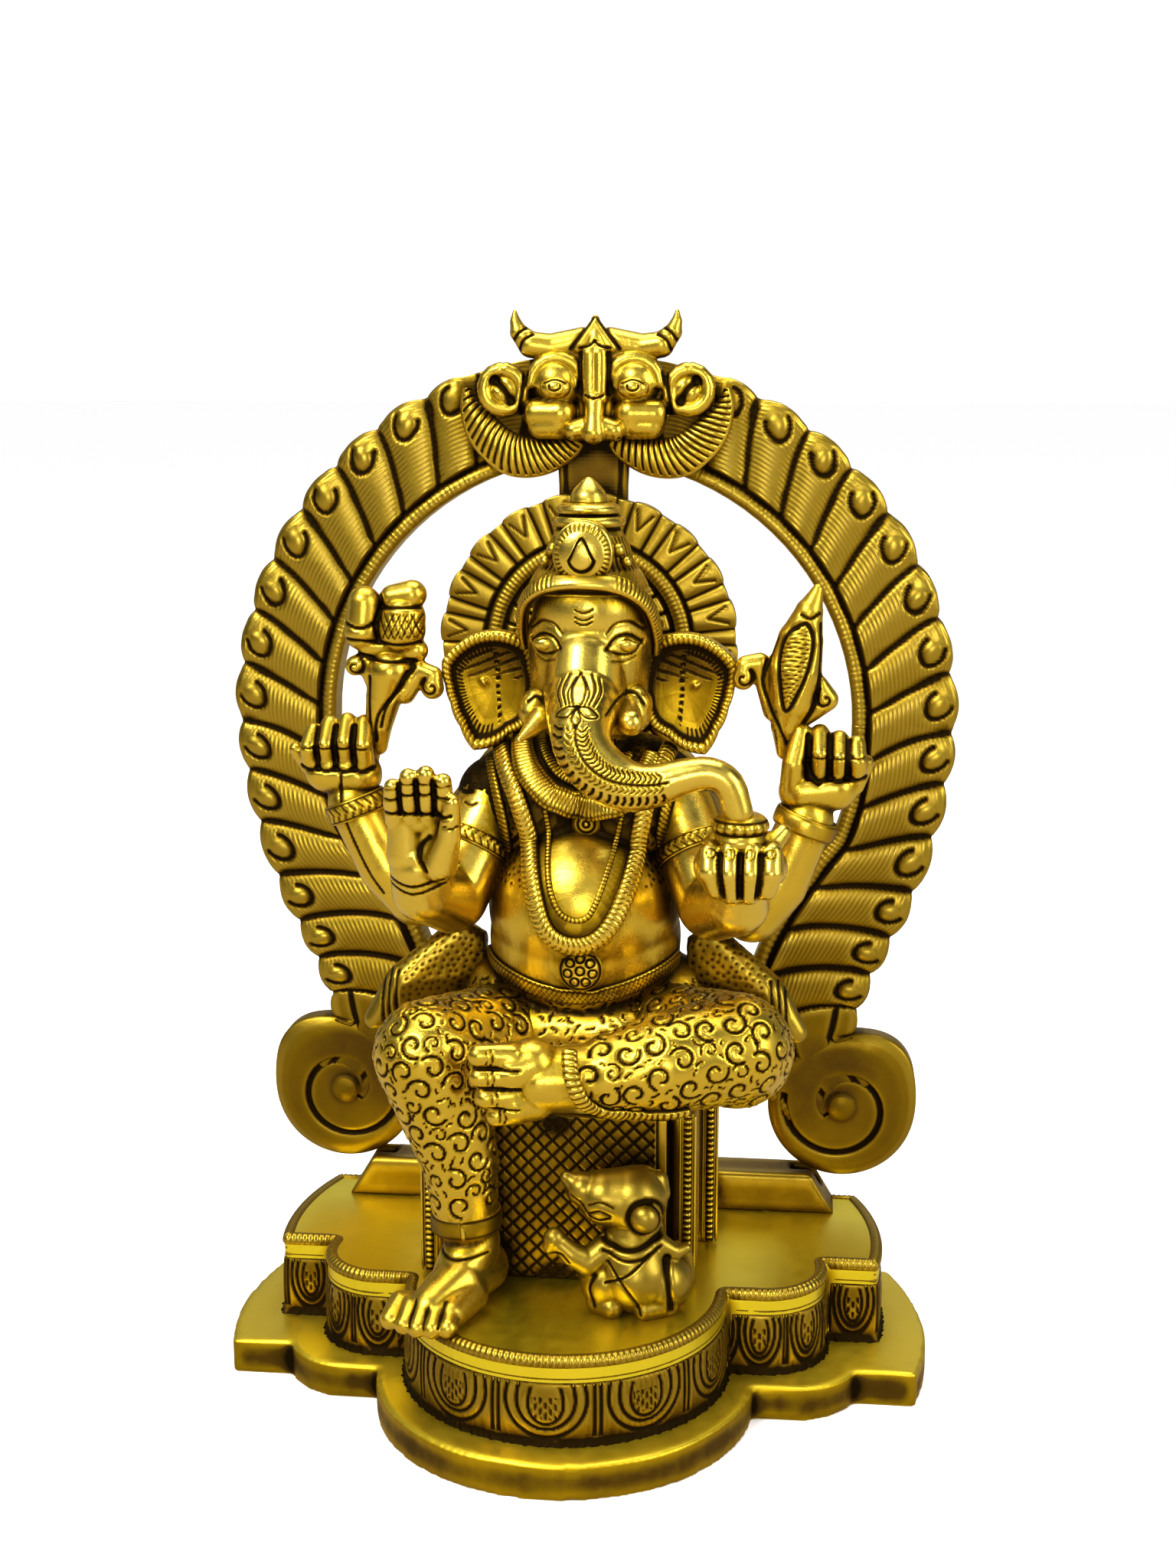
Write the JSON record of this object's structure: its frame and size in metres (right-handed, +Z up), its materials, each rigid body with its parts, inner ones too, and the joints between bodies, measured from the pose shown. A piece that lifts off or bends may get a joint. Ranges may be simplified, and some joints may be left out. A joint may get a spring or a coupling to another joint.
{
  "type": "ganesha idol",
  "caption": "Cast brass seated elephant-headed idol on a lobed base, with throne, scaled arch, lion mask, halo, mouse and four arms.",
  "frame": {"origin": "middle of the base's footprint box, on the surface it stands on", "axes": "+Z up; the figure faces -Y, towards the viewer; +X is to the viewer's right"},
  "size_m": [0.2136, 0.128, 0.3],
  "materials": {
    "patinated_brass": "cast, chased and buffed brass with a brown-black patina left in the recesses",
    "polished_brass": "buffed bright brass with patina only in the cut lines",
    "fixing_brass": "plain turned brass, dull"
  },
  "bodies": {
    "root": {"base_plate": "patinated_brass", "plinth": "patinated_brass", "throne": "patinated_brass", "throne_panel": "patinated_brass", "arch_foot": "patinated_brass", "arch": "patinated_brass", "lion_mask": "polished_brass", "mask_rivets": "fixing_brass", "halo": "patinated_brass", "torso": "patinated_brass", "leg_right": "patinated_brass", "leg_left": "patinated_brass", "head": "patinated_brass", "crown": "patinated_brass", "crown_knob": "polished_brass", "crown_jewel": "polished_brass", "ear_right": "patinated_brass", "ear_left": "patinated_brass", "tusk_right": "polished_brass", "tusk_left": "polished_brass", "front_arm_right": "patinated_brass", "front_arm_left": "patinated_brass", "rear_arm_right": "patinated_brass", "rear_arm_left": "patinated_brass", "axe": "polished_brass", "lotus_bud": "polished_brass", "sweet_bowl": "polished_brass", "garland": "patinated_brass", "pendant": "polished_brass", "chest_boss": "polished_brass", "sash_right": "patinated_brass", "sash_left": "patinated_brass", "mouse": "patinated_brass", "tie_bolt": "fixing_brass", "arch_studs": "fixing_brass", "mouse_stud": "fixing_brass", "washers": "fixing_brass", "nuts": "fixing_brass"}
  },
  "joints": []
}
